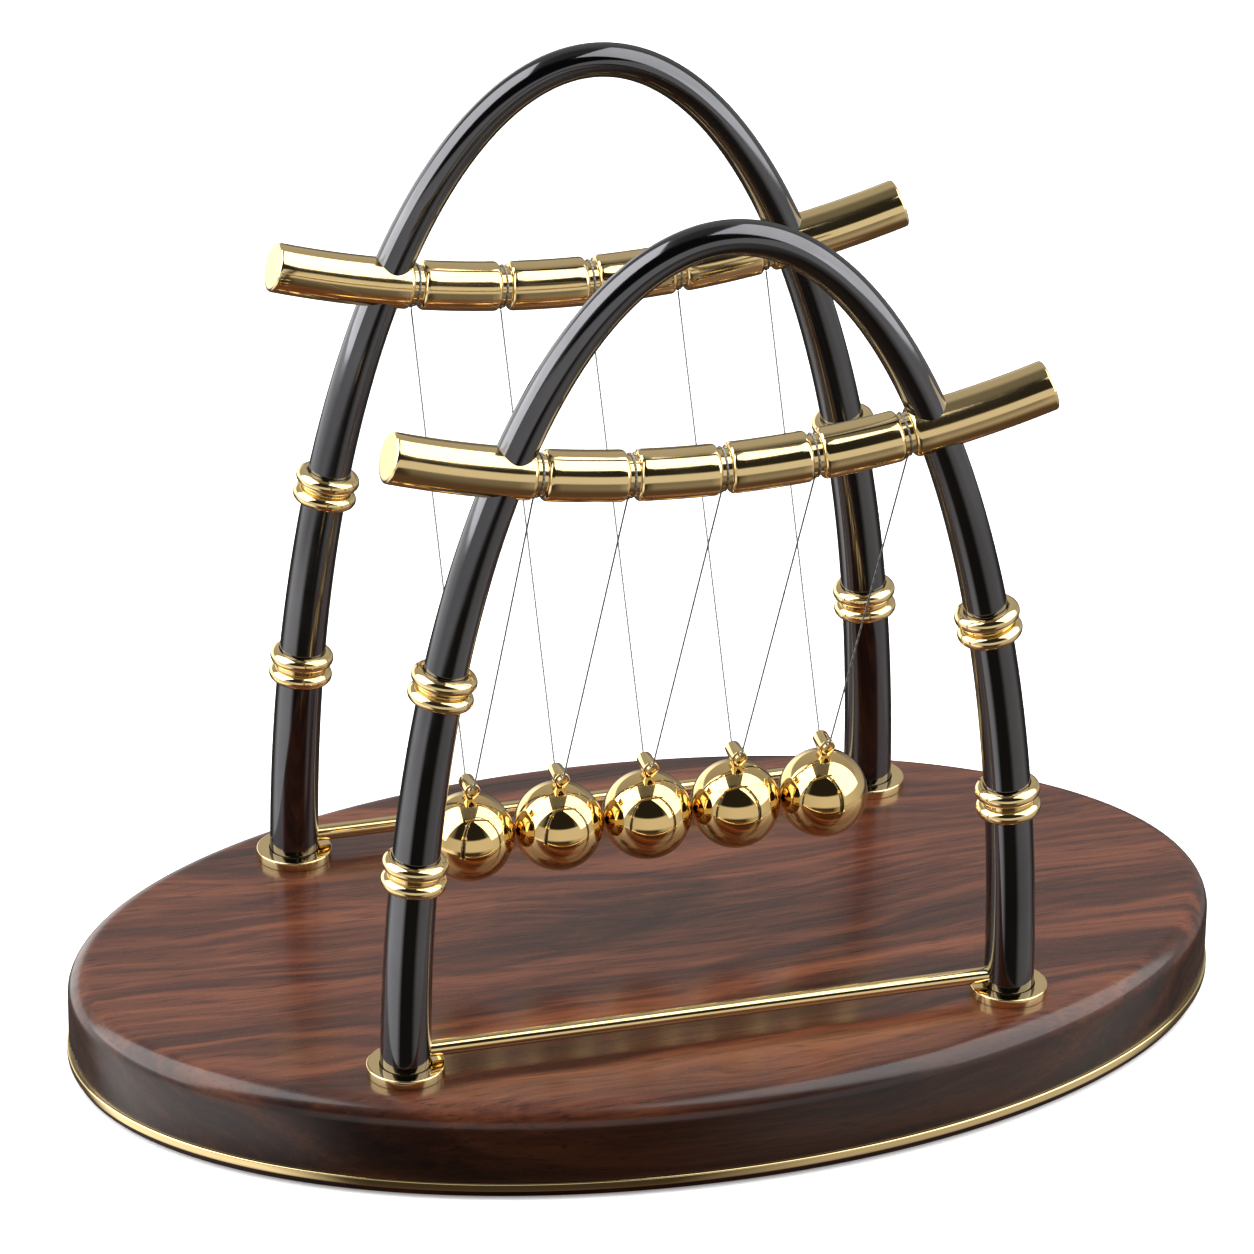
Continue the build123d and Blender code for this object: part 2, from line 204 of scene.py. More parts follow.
def sag_centre_z():
    """Height of the middle of the circle that the crossbar's middle line follows."""
    return box_of("front_crossbar")[0].z + bar_radius() + sizes().bar_sag


def bar_place(swing, y, drop=0.0):
    """Stands a ring across the crossbar. Swing is the angle about the middle of its sag."""
    radius = sizes().bar_sag + drop
    origin = Vector((radius * sin(swing), y, sag_centre_z() - radius * cos(swing)))
    return placing(origin, Vector((cos(swing), 0, sin(swing))))


def loop_radius():
    return bar_radius() - sizes().neck_depth + LOOP_GAP + sizes().thread / 2


def knot_drop():
    """From the crossbar's middle line down to the middle of a knot."""
    return loop_radius() + sizes().thread / 2 + sizes().knot / 2 - KNOT_BITE


def ball_x(number):
    return middle(f"ball_{number}").x


def eye_height(number):
    """Height of the middle of an eyelet's barrel."""
    return box_of(f"ball_{number}")[1].z + sizes().eye_rise


def neck_swing(number):
    return asin(ball_x(number) / (sizes().bar_sag + knot_drop()))


def crossing_angle():
    """Where on the arch the tube and the crossbar share a middle."""
    low, high = 0.0, pi / 2
    for _ in range(HALVINGS):
        guess = (low + high) / 2
        point = arch_point(guess)
        bar_z = sag_centre_z() - sqrt(sizes().bar_sag ** 2 - point.x**2)
        low, high = (guess, high) if plinth_top() + point.z < bar_z else (low, guess)
    return low


# ---- Making pieces
OVAL_SIDES = 240
FLAT_SIDES = 200  # a face with this many sides is a flat top or bottom
FLAT_MARGIN = 0.0006
TURN_STEPS = 96
SAME_POINT = 1e-7
SAME_LEVEL = 1e-6
CREASE = radians(42)
SMALL_EDGE = 0.0003  # rounding of the small edges of the plinth's parts
TO_FRONT = Matrix.Rotation(pi / 2, 4, "X")  # turns +Z to the front


def spread(start, end, count):
    return [start + (end - start) * n / (count - 1) for n in range(count)]


def corner(centre, radius, start, end, steps):
    """Points (radius, height) along a rounded corner, between two angles in degrees."""
    turns = [radians(a) for a in spread(start, end, steps)]
    return [(centre[0] + radius * cos(a), centre[1] + radius * sin(a)) for a in turns]


def degrees_from(along, radius):
    """The angle whose cosine carries a radius that far along, in degrees."""
    return 90 - asin(max(-1.0, min(1.0, along / radius))) * 180 / pi


def circle(bm, radius, segments, place, filled=False):
    """Makes a round ring, and gives its vertices and its edges."""
    made = bmesh.ops.create_circle(
        bm, cap_ends=filled, radius=radius, segments=segments, matrix=place
    )
    return made["verts"], list({e for v in made["verts"] for e in v.link_edges})


def sphere(bm, round_it, upward, radius, place):
    bmesh.ops.create_uvsphere(
        bm, u_segments=round_it, v_segments=upward, radius=radius, matrix=place
    )


def oval(bm, half, inset, z, filled=True):
    """An oval with those half sizes, smaller all round by inset. Gives its edges."""
    shape = Matrix.Diagonal((half.x - inset, half.y - inset, 1, 1))
    return circle(bm, 1, OVAL_SIDES, Matrix.Translation((0, 0, z)) @ shape, filled)[1]


def plinth_oval(bm, inset, z):
    """One face with the plinth's outline, smaller all round by inset."""
    oval(bm, extent("plinth") / 2, inset, z)
    return bm.faces[:][-1]


def lift(bm, made, vec):
    """Moves the vertices that an extrusion has made."""
    verts = [g for g in made if isinstance(g, bmesh.types.BMVert)]
    bmesh.ops.translate(bm, verts=verts, vec=vec)


def raise_face(bm, face, height):
    """Extrudes a face straight up or down, and gives the face that moved."""
    made = bmesh.ops.extrude_face_region(bm, geom=[face])["geom"]
    lift(bm, made, (0, 0, height))
    return next(g for g in made if isinstance(g, bmesh.types.BMFace))


def skin_rings(bm, rings, closed=False):
    """Skins a row of round rings, each a placing and a radius. A closed row meets its own start."""
    loops = [circle(bm, radius, sizes().facets, place)[1] for place, radius in rings]
    pairs = list(zip(loops, loops[1:]))
    if closed:
        pairs.append((loops[-1], loops[0]))
    for first, second in pairs:
        bmesh.ops.bridge_loops(bm, edges=first + second)
    if not closed:
        bmesh.ops.edgeloop_fill(bm, edges=loops[0])
        bmesh.ops.edgeloop_fill(bm, edges=loops[-1])


def turn(bm, outline, place, steps=TURN_STEPS):
    """Turns a closed outline of (radius, height) points about its axis, then puts it in place."""
    before = set(bm.verts)
    verts = [bm.verts.new((radius, 0, height)) for radius, height in outline]
    edges = [bm.edges.new(pair) for pair in zip(verts, verts[1:] + verts[:1])]
    upright = {"cent": (0, 0, 0), "axis": (0, 0, 1), "angle": 2 * pi}
    bmesh.ops.spin(bm, geom=verts + edges, steps=steps, use_merge=True, **upright)
    bmesh.ops.transform(bm, matrix=place, verts=[v for v in bm.verts if v not in before])


def round_edges(bm, edges, radius, segments):
    bmesh.ops.bevel(
        bm,
        geom=edges,
        offset=radius,
        offset_type="OFFSET",
        affect="EDGES",
        segments=segments,
        profile=0.5,
        material=-1,
    )


def edges_at(bm, z):
    return [e for e in bm.edges if all(abs(v.co.z - z) < SAME_LEVEL for v in e.verts)]


def sharp_edges(bm, least):
    """The edges where two faces meet at more than that many degrees."""
    return [e for e in bm.edges if e.calc_face_angle(0.0) > radians(least)]


def frame_flats(bm):
    """Insets each large flat face a little, so that the rounding beside it doesn't tint it."""
    for face in [f for f in bm.faces if len(f.verts) >= FLAT_SIDES]:
        bmesh.ops.inset_region(bm, faces=[face], thickness=FLAT_MARGIN, use_even_offset=True)


def finish_piece(bm, name, finish, node):
    """Makes the piece that replaces a CAD node."""
    bmesh.ops.remove_doubles(bm, verts=bm.verts, dist=SAME_POINT)
    bmesh.ops.recalc_face_normals(bm, faces=bm.faces)
    for face in bm.faces:
        face.smooth = True
    for edge in bm.edges:
        edge.smooth = edge.calc_face_angle(0.0) < CREASE
    return stand(as_mesh(bm, name), name, finish, node)


def as_mesh(bm, name):
    mesh = bpy.data.meshes.new(name)
    bm.to_mesh(mesh)
    bm.free()
    return mesh


def in_scene(name, data):
    made = bpy.data.objects.new(name, data)
    bpy.context.scene.collection.objects.link(made)
    return made


def stand(data, name, finish, node):
    """Puts a mesh or a curve in the scene with its finish, on the body of the node it replaces."""
    data.materials.append(made_finish(finish))
    piece = in_scene(name, data)
    number = node[-1]  # only what hangs on a thread has one
    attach(piece, f"hanging_ball_{number}" if number.isdigit() else HOLDING_BODY)
    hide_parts(node)
    return piece


# ---- Shader building
MIX_FIRST, MIX_SECOND, MIXED = 6, 7, 2  # a Mix node's sockets for colours


def plug(tree, value, socket):
    """Joins an output to a socket, or sets the socket to a plain value."""
    if isinstance(value, bpy.types.NodeSocket):
        tree.links.new(value, socket)
    else:
        socket.default_value = value


def wire(tree, sockets, **values):
    """Gives the named sockets their values. A low line in a name stands for a space."""
    for key, value in values.items():
        plug(tree, value, sockets[key.replace("_", " ")])


def add(tree, kind, label="", **values):
    """Adds a shader node and gives its outputs.

    Values go to its named sockets, or to the node itself where it has no such socket.
    """
    made = tree.nodes.new(f"ShaderNode{kind}")
    made.label = label
    for key, value in values.items():
        if key.replace("_", " ") in made.inputs:
            wire(tree, made.inputs, **{key: value})
        else:
            setattr(made, key, value)
    return made.outputs


def maths(tree, operation, *operands, kind="Math"):
    """The result of a Math or VectorMath node. Each operand is a plain value or an output."""
    made = tree.nodes.new(f"ShaderNode{kind}")
    made.operation = operation
    for operand, socket in zip(operands, made.inputs):
        plug(tree, operand, socket)
    return made.outputs[0]


def mixed(tree, label, share, first, second):
    """A colour between two others."""
    made = tree.nodes.new("ShaderNodeMix")
    made.label = label
    made.data_type = "RGBA"
    wire(tree, made.inputs, Factor=share)
    plug(tree, first, made.inputs[MIX_FIRST])
    plug(tree, second, made.inputs[MIX_SECOND])
    return made.outputs[MIXED]


def choice(tree, share, first, second):
    """The first shader where the share is 0, and the second where it is 1."""
    made = tree.nodes.new("ShaderNodeMixShader")
    for value, socket in zip((share, first, second), made.inputs):
        tree.links.new(value, socket)
    return made.outputs[0]


def ramp(tree, stops, share):
    """The colour at that share of a row of stops, each a place and a colour."""
    made = tree.nodes.new("ShaderNodeValToRGB")
    elements = made.color_ramp.elements
    while len(elements) < len(stops):
        elements.new(0.5)
    for element, (place, shade) in zip(elements, stops):
        element.position = place
        element.color = (*shade, 1.0)
    wire(tree, made.inputs, Fac=share)
    return made.outputs["Color"]


def facing(tree, axis):
    """How far a surface faces along an axis."""
    return add(tree, "SeparateXYZ", Vector=add(tree, "NewGeometry")["Normal"])[axis]


def new_group(name, results, **given):
    """An empty shader group with its sockets. It takes a place and what else is given a default."""
    group = bpy.data.node_groups.new(name, "ShaderNodeTree")
    for key, default in {"Vector": (0.0, 0.0, 0.0), **given}.items():
        kind = "Float" if isinstance(default, float) else {3: "Vector", 4: "Color"}[len(default)]
        group.interface.new_socket(
            key.replace("_", " "), in_out="INPUT", socket_type=f"NodeSocket{kind}"
        ).default_value = default
    for label in results:
        kind = "Color" if label == "Color" else "Float"
        group.interface.new_socket(label, in_out="OUTPUT", socket_type=f"NodeSocket{kind}")
    taken = group.nodes.new("NodeGroupInput").outputs
    return group, taken, group.nodes.new("NodeGroupOutput").inputs


def noise(tree, label, place, scale, detail, rough, **values):
    return add(
        tree, "TexNoise", label, Vector=place, Scale=scale, Detail=detail, Roughness=rough, **values
    )


def mask(tree, label, value, start, end, **values):
    """Goes from 0 to 1 as the value goes from start to end."""
    made = add(tree, "MapRange", label, Value=value, From_Min=start, From_Max=end, **values)
    return made["Result"]


def haze_group(name):
    """Polish that isn't even: wipe marks and faint finger haze, as a roughness."""
    group, given, results = new_group(name, ("Roughness",), Scale=60.0, Clear=0.05, Hazy=0.12)
    place, scale = given["Vector"], given["Scale"]
    patches = noise(group, "patches", place, scale, 3.0, 0.55)["Fac"]
    marks = {"Rotation": (0.3, 0.5, 0.2), "Scale": (1.0, 6.0, 2.5)}
    stretched = add(group, "Mapping", "stretched marks", Vector=place, **marks)["Vector"]
    wipes = noise(group, "wipe marks", stretched, scale, 2.0, 0.6, Distortion=0.6)["Fac"]
    haze = mask(group, "haze", maths(group, "MULTIPLY", patches, wipes), 0.16, 0.38)
    rough = mask(group, "roughness", haze, 0.0, 1.0, To_Min=given["Clear"], To_Max=given["Hazy"])
    wire(group, results, Roughness=rough)
    return group


def hairline_group(name):
    """Fine polishing lines along one direction, as a height."""
    group, given, results = new_group(name, ("Height",), Along=(1.0, 1.0, 1.0), Fineness=400.0)
    stretched = maths(group, "MULTIPLY", given["Vector"], given["Along"], kind="VectorMath")
    lines = noise(group, "lines", stretched, given["Fineness"], 4.0, 0.65)["Fac"]
    wire(group, results, Height=lines)
    return group


def tarnish_group(name):
    """Slow drift of a colour towards another one, in soft patches."""
    tones = {"Metal": (0.8, 0.6, 0.3, 1.0), "Tarnished": (0.6, 0.4, 0.2, 1.0)}
    group, given, results = new_group(name, ("Color",), **tones, Scale=35.0, Amount=0.3)
    cloud = noise(group, "cloud", given["Vector"], given["Scale"], 5.0, 0.6, Distortion=0.3)["Fac"]
    share = maths(group, "MULTIPLY", mask(group, "tarnish", cloud, 0.42, 0.72), given["Amount"])
    wire(group, results, Color=mixed(group, "metal", share, given["Metal"], given["Tarnished"]))
    return group


def dust_group(name):
    """A little dust that has settled on what faces up, as a mask."""
    group, given, results = new_group(name, ("Mask",), Scale=900.0, Amount=0.05)
    up = mask(group, "faces up", facing(group, "Z"), 0.55, 0.98)
    specks = noise(group, "specks", given["Vector"], given["Scale"], 2.0, 0.7)["Fac"]
    sparse = mask(group, "sparse", specks, 0.55, 0.8)
    share = maths(group, "MULTIPLY", maths(group, "MULTIPLY", up, sparse), given["Amount"])
    wire(group, results, Mask=share)
    return group


def figure_group(name):
    """Figured wood: growth bands round a heart that lies along X, fine fibres and open pores."""
    group, given, results = new_group(
        name,
        ("Color", "Height", "Pores"),
        Dark=(0.02, 0.006, 0.003, 1.0),
        Middle=(0.08, 0.022, 0.01, 1.0),
        Light=(0.16, 0.05, 0.02, 1.0),
        Band_Spacing=150.0,
    )
    place = given["Vector"]

    def grain(label, source, scale, detail, rough):
        stretched = add(group, "Mapping", label, Vector=source, Scale=scale)["Vector"]
        return noise(group, label, stretched, 1.0, detail, rough)

    def sum_of(first, second):
        return maths(group, "ADD", first, second)

    def times(first, second):
        return maths(group, "MULTIPLY", first, second)

    # The board is bent slowly along its length before the bands are laid round the heart.
    wander = grain("slow along the board", place, (5.0, 14.0, 14.0), 3.0, 0.5)["Color"]
    both_ways = maths(group, "SUBTRACT", wander, (0.5, 0.5, 0.5), kind="VectorMath")
    bend = (0.0, 0.055, 0.030)
    bent = maths(group, "MULTIPLY_ADD", both_ways, bend, place, kind="VectorMath")
    parts = add(group, "SeparateXYZ", Vector=bent)
    across, depth = sum_of(parts["Y"], -0.012), sum_of(parts["Z"], 0.055)
    distance = maths(group, "SQRT", sum_of(times(across, across), times(depth, depth)))
    spaced = {"noise_dimensions": "1D", "W": times(distance, given["Band Spacing"])}
    rough = {"Scale": 1.0, "Detail": 4.0, "Roughness": 0.6}
    bands = add(group, "TexNoise", "growth bands", **spaced, **rough)["Fac"]
    # Fibres and pores run along X.
    fibres = grain("fibres", bent, (14.0, 520.0, 520.0), 5.0, 0.62)["Fac"]
    streaks = grain("streaks", bent, (5.0, 95.0, 95.0), 4.0, 0.6)["Fac"]
    pores = grain("pores", place, (110.0, 1500.0, 1500.0), 1.0, 0.5)["Fac"]
    open_pores = mask(group, "open pores", pores, 0.60, 0.70)
    # The tone adds the three scales up, and then picks the colour.
    tone = sum_of(sum_of(times(bands, 0.36), times(streaks, 0.32)), times(fibres, 0.32))
    low = mask(group, "dark to middle", tone, 0.37, 0.50)
    high = mask(group, "middle to light", tone, 0.49, 0.63)
    wood = mixed(group, "dark to middle", low, given["Dark"], given["Middle"])
    wood = mixed(group, "middle to light", high, wood, given["Light"])
    wood = mixed(group, "pores", times(open_pores, 0.55), wood, given["Dark"])
    wire(group, results, Color=wood, Height=tone, Pores=open_pores)
    return group


GROUPS = {
    "Polish Haze": haze_group,
    "Hairlines": hairline_group,
    "Tarnish": tarnish_group,
    "Settled Dust": dust_group,
    "Wood Figure": figure_group,
}


def effect(tree, name, place, **values):
    """Places a shared group in a material, built the first time that it is asked for."""
    made = tree.nodes.new("ShaderNodeGroup")
    made.node_tree = bpy.data.node_groups.get(name) or GROUPS[name](name)
    wire(tree, made.inputs, Vector=place, **values)
    return made.outputs


# ---- Finishes
WOOD_TONES = ("Dark", "Middle", "Light")


def new_material(name, **values):
    """A material, its tree, its Principled sockets, and the object's own coordinates."""
    material = bpy.data.materials.new(name)
    material.use_nodes = True
    tree = material.node_tree
    shader = tree.nodes["Principled BSDF"].inputs
    wire(tree, shader, **values)
    return material, tree, shader, add(tree, "TexCoord")["Object"]


def drift(tree, place, tone, fade, scale, amount):
    """A colour that drifts in patches to a faded or a paler one."""
    faded = (*(c * f for c, f in zip(tone, fade)), 1)
    values = {"Metal": (*tone, 1), "Tarnished": faded, "Scale": scale, "Amount": amount}
    return effect(tree, "Tarnish", place, **values)["Color"]


def dusted(tree, place, colour, dust, scale, amount):
    """A colour with dust of another on what faces up."""
    share = effect(tree, "Settled Dust", place, Scale=scale, Amount=amount)["Mask"]
    return mixed(tree, "dust", share, colour, (*dust, 1))


def haze(tree, place, scale, clear, hazy):
    return effect(tree, "Polish Haze", place, Scale=scale, Clear=clear, Hazy=hazy)["Roughness"]


def relief(tree, height, distance, strength):
    made = add(tree, "Bump", "relief", Strength=strength, Distance=distance, Height=height)
    return made["Normal"]


def wood_material(name, coat, coat_rough, dust):
    lacquer = {"Coat_Weight": coat, "Coat_Roughness": coat_rough, "Coat_IOR": 1.5}
    material, tree, shader, place = new_material(name, Specular_IOR_Level=0.15, **lacquer)
    tones = {key: (*getattr(finishes(), f"wood_{key.lower()}"), 1) for key in WOOD_TONES}
    figure = effect(tree, "Wood Figure", place, **tones)
    # Painted shade: the upright edge is darkened, down to 0.52 of the figure's colour where it
    # faces sideways, so that it is darker than the top.
    share = mask(tree, "painted shade on the edge", facing(tree, "Z"), 0.10, 0.85, To_Min=0.52)
    shaded_edge = {"operation": "SCALE", "Vector": figure["Color"], "Scale": share}
    wood = add(tree, "VectorMath", "shaded_edge", **shaded_edge)["Vector"]
    pressed = maths(tree, "SUBTRACT", figure["Height"], figure["Pores"])
    wire(
        tree,
        shader,
        Base_Color=dusted(tree, place, wood, (0.35, 0.32, 0.30), 1400.0, dust),
        Roughness=haze(tree, place, 22.0, 0.34, 0.48),
        Normal=relief(tree, pressed, 0.00004, 0.35),
    )
    return material


def metal_material(name, tone, fade, patches, dust, hazed, hairlines, depth, **coat):
    """Polished metal. All but the tone and the fade are the values of the shared effects."""
    material, tree, shader, place = new_material(name, Metallic=1.0, **coat)
    colour = drift(tree, place, getattr(finishes(), tone), fade, *patches)
    if dust:
        colour = dusted(tree, place, colour, *dust)
    along, fineness = hairlines
    lines = effect(tree, "Hairlines", place, Along=along, Fineness=fineness)["Height"]
    rough, normal = haze(tree, place, *hazed), relief(tree, lines, *depth)
    wire(tree, shader, Base_Color=colour, Roughness=rough, Normal=normal)
    return material


def brass_material(name, tone, clear, hazy, along, amount=0.18):
    fade, dust = (0.80, 0.72, 0.62), ((0.55, 0.50, 0.42), 2200.0, 0.03)
    surface = (48.0, clear, hazy), (along, 160.0), (0.000012, 0.12)
    return metal_material(name, tone, fade, (42.0, amount), dust, *surface)


def nickel_material(name):
    fade, dust = (1.4, 1.4, 1.4), ((0.30, 0.29, 0.28), 2000.0, 0.04)
    surface = (36.0, 0.07, 0.14), ((1.0, 1.0, 0.12), 180.0), (0.00002, 0.15)
    coat = {"Coat_Weight": 0.15, "Coat_Roughness": 0.05}
    return metal_material(name, "nickel", fade, (30.0, 0.6), dust, *surface, **coat)


def steel_material(name):
    surface = (150.0, 0.22, 0.42), ((1.0, 1.0, 0.05), 900.0), (0.00002, 0.3)
    return metal_material(name, "steel", (0.6, 0.6, 0.6), (120.0, 0.5), None, *surface)


def thread_material(name):
    """Fine twisted thread: slanting plies, with a soft sheen."""
    material, tree, shader, place = new_material(
        name, Specular_IOR_Level=0.4, Sheen_Weight=0.3, Sheen_Roughness=0.4
    )
    tone = finishes().thread
    twist = {"Scale": 520.0, "Distortion": 1.2, "Detail": 2.0, "bands_direction": "DIAGONAL"}
    plies = add(tree, "TexWave", "plies", Vector=place, **twist)["Fac"]
    stops = [(0.15, [c * 0.55 for c in tone]), (0.75, [c * 1.25 for c in tone])]
    wire(
        tree,
        shader,
        Base_Color=ramp(tree, stops, plies),
        Roughness=haze(tree, place, 400.0, 0.36, 0.6),
        Normal=relief(tree, plies, 0.00005, 0.5),
    )
    return material


def felt_material(name):
    """Pressed felt: short matted fibres, with a pale nap."""
    material, tree, shader, place = new_material(
        name, Roughness=0.95, Specular_IOR_Level=0.1, Sheen_Weight=0.6, Sheen_Roughness=0.5
    )
    matted = noise(tree, "matted fibres", place, 900.0, 6.0, 0.7, Distortion=1.5)["Fac"]
    colour = drift(tree, place, finishes().felt, (2.5, 2.5, 2.5), 260.0, 0.8)
    wire(tree, shader, Base_Color=colour, Normal=relief(tree, matted, 0.0003, 0.7))
    return material


# For each finish: its slot in the record, what makes it, and with which values.
FINISHES = {
    "lacquered_rosewood": ("rosewood", wood_material, 0.85, 0.19, 0.05),
    "bare_rosewood": ("rosewood", wood_material, 0.15, 0.35, 0.0),
    "polished_brass": ("brass", brass_material, "brass", 0.07, 0.13, (0.1, 1, 1)),
    "turned_brass": ("brass", brass_material, "brass", 0.06, 0.12, (1, 1, 0.2)),
    "mirror_brass": ("ball_brass", brass_material, "ball_brass", 0.025, 0.06, (1, 1, 1), 0.08),
    "black_nickel": ("gunmetal", nickel_material),
    "plain_steel": ("steel", steel_material),
    "twisted_thread": ("thread", thread_material),
    "pressed_felt": ("felt", felt_material),
}


def made_finish(name):
    """The finish of that name, made the first time that it is asked for."""
    _, maker, *values = FINISHES[name]
    return bpy.data.materials.get(name) or maker(name, *values)


# ---- Operators: one for each piece or group of like pieces
class CradleOperator:
    bl_options = {"REGISTER", "UNDO"}

    def execute(self, context):
        self.make()
        return {"FINISHED"}


VIEW_AZIMUTH, VIEW_ELEVATION, VIEW_ROLL = -16.5, 26.5, 0.8
VIEW_DISTANCE = 1.5
VIEW_AIM = Vector((-0.0052, 0, 0.0952))


def towards(azimuth, elevation):
    """The direction at those angles, in degrees to the right of the front and up."""
    turned, lifted = radians(azimuth), radians(elevation)
    return Vector((sin(turned) * cos(lifted), -cos(turned) * cos(lifted), sin(lifted)))


class CRADLE_OT_camera(CradleOperator, bpy.types.Operator):
    """Puts the camera a little left of the front and above the cradle"""

    bl_idname = "cradle.camera"
    bl_label = "Camera"

    def make(self):
        azimuth, roll = radians(VIEW_AZIMUTH), radians(VIEW_ROLL)
        back = towards(VIEW_AZIMUTH, VIEW_ELEVATION)
        right = Vector((cos(azimuth), sin(azimuth), 0))
        up = back.cross(right)
        across = right * cos(roll) + up * sin(roll)
        upward = up * cos(roll) - right * sin(roll)
        turned = Matrix((across, upward, back)).transposed().to_4x4()
        data = bpy.data.cameras.new("cradle_camera")
        data.lens = 198.1
        data.sensor_width = 36.0
        data.clip_start = 0.01
        data.clip_end = 50.0
        camera = in_scene("cradle_camera", data)
        camera.matrix_world = Matrix.Translation(VIEW_AIM + back * VIEW_DISTANCE) @ turned
        bpy.context.scene.camera = camera


class CRADLE_OT_threads(CradleOperator, bpy.types.Operator):
    """Hangs each ball's thread, from the front knot through the eyelet to the back knot"""

    bl_idname = "cradle.threads"
    bl_label = "Threads"

    CLEAR_OF_KNOT = 0.0001
    BEND_REACH = 6  # thread diameters before the corner where it starts to bend

    def make(self):
        for number in BALLS:
            self.hang(number)

    def route(self, number):
        """The back half of the route, from the knot down to the eyelet's mouth."""
        size = sizes()
        knot = bar_place(neck_swing(number), row_y("back"), knot_drop()).translation
        mouth_y = size.eye_length / 2 + size.thread_overhang
        mouth = Vector((ball_x(number), mouth_y, eye_height(number) + size.thread_rise))
        way = (mouth - knot).normalized()
        start = knot + way * (size.knot / 2 + self.CLEAR_OF_KNOT)
        return [start, mouth - way * size.thread * self.BEND_REACH, mouth]

    def hang(self, number):
        size = sizes()
        name = f"thread_{number}_line"
        back = self.route(number)
        points = [Vector((p.x, -p.y, p.z)) for p in back] + back[::-1]
        curve = bpy.data.curves.new(name, "CURVE")
        curve.dimensions = "3D"
        curve.bevel_depth = size.thread / 2
        curve.bevel_resolution = 4
        curve.resolution_u = 10
        curve.use_fill_caps = True
        line = curve.splines.new("NURBS")
        line.points.add(len(points) - 1)
        for held, point in zip(line.points, points):
            held.co = (*point, 1.0)
        line.order_u = 3
        line.use_endpoint_u = True
        piece = stand(curve, name, "twisted_thread", f"thread_{number}")


def grey(light, warmth=0.0):
    return (light, light * (1 - 0.5 * warmth), light * (1 - warmth))


# Light of the room by direction: degrees to the right of the front, how bright, and how warm.
UPPER_ROOM = (
    (-180, 0.48, 0.05), (-120, 0.40, 0.05), (-85, 0.42, 0.04), (-48, 0.28, 0.04), (-36, 0.020, 0.1),
    (44, 0.020, 0.1), (60, 0.28, 0.06), (95, 0.42, 0.04), (125, 0.40, 0.05), (180, 0.48, 0.05),
)
STRIP_OF_ROOM = (
    (-180, 0.10, 0.03), (-156, 1.70, 0.02), (-120, 1.70, 0.02), (-60, 0.62, 0.04),
    (0, 0.75, 0.06), (60, 0.75, 0.06), (140, 0.45, 0.03), (180, 0.10, 0.03),
)
LOWER_ROOM = (
    (-180, 0.07, 0.2), (-125, 0.10, 0.15), (-100, 1.50, 0.04), (-40, 1.15, 0.06), (-24, 0.05, 0.35),
    (26, 0.05, 0.35), (44, 0.50, 0.14), (100, 0.62, 0.10), (125, 0.08, 0.2), (180, 0.07, 0.2),
)
ZENITH = (0.16, 0.157, 0.15, 1)
NADIR = (0.10, 0.065, 0.045, 1)


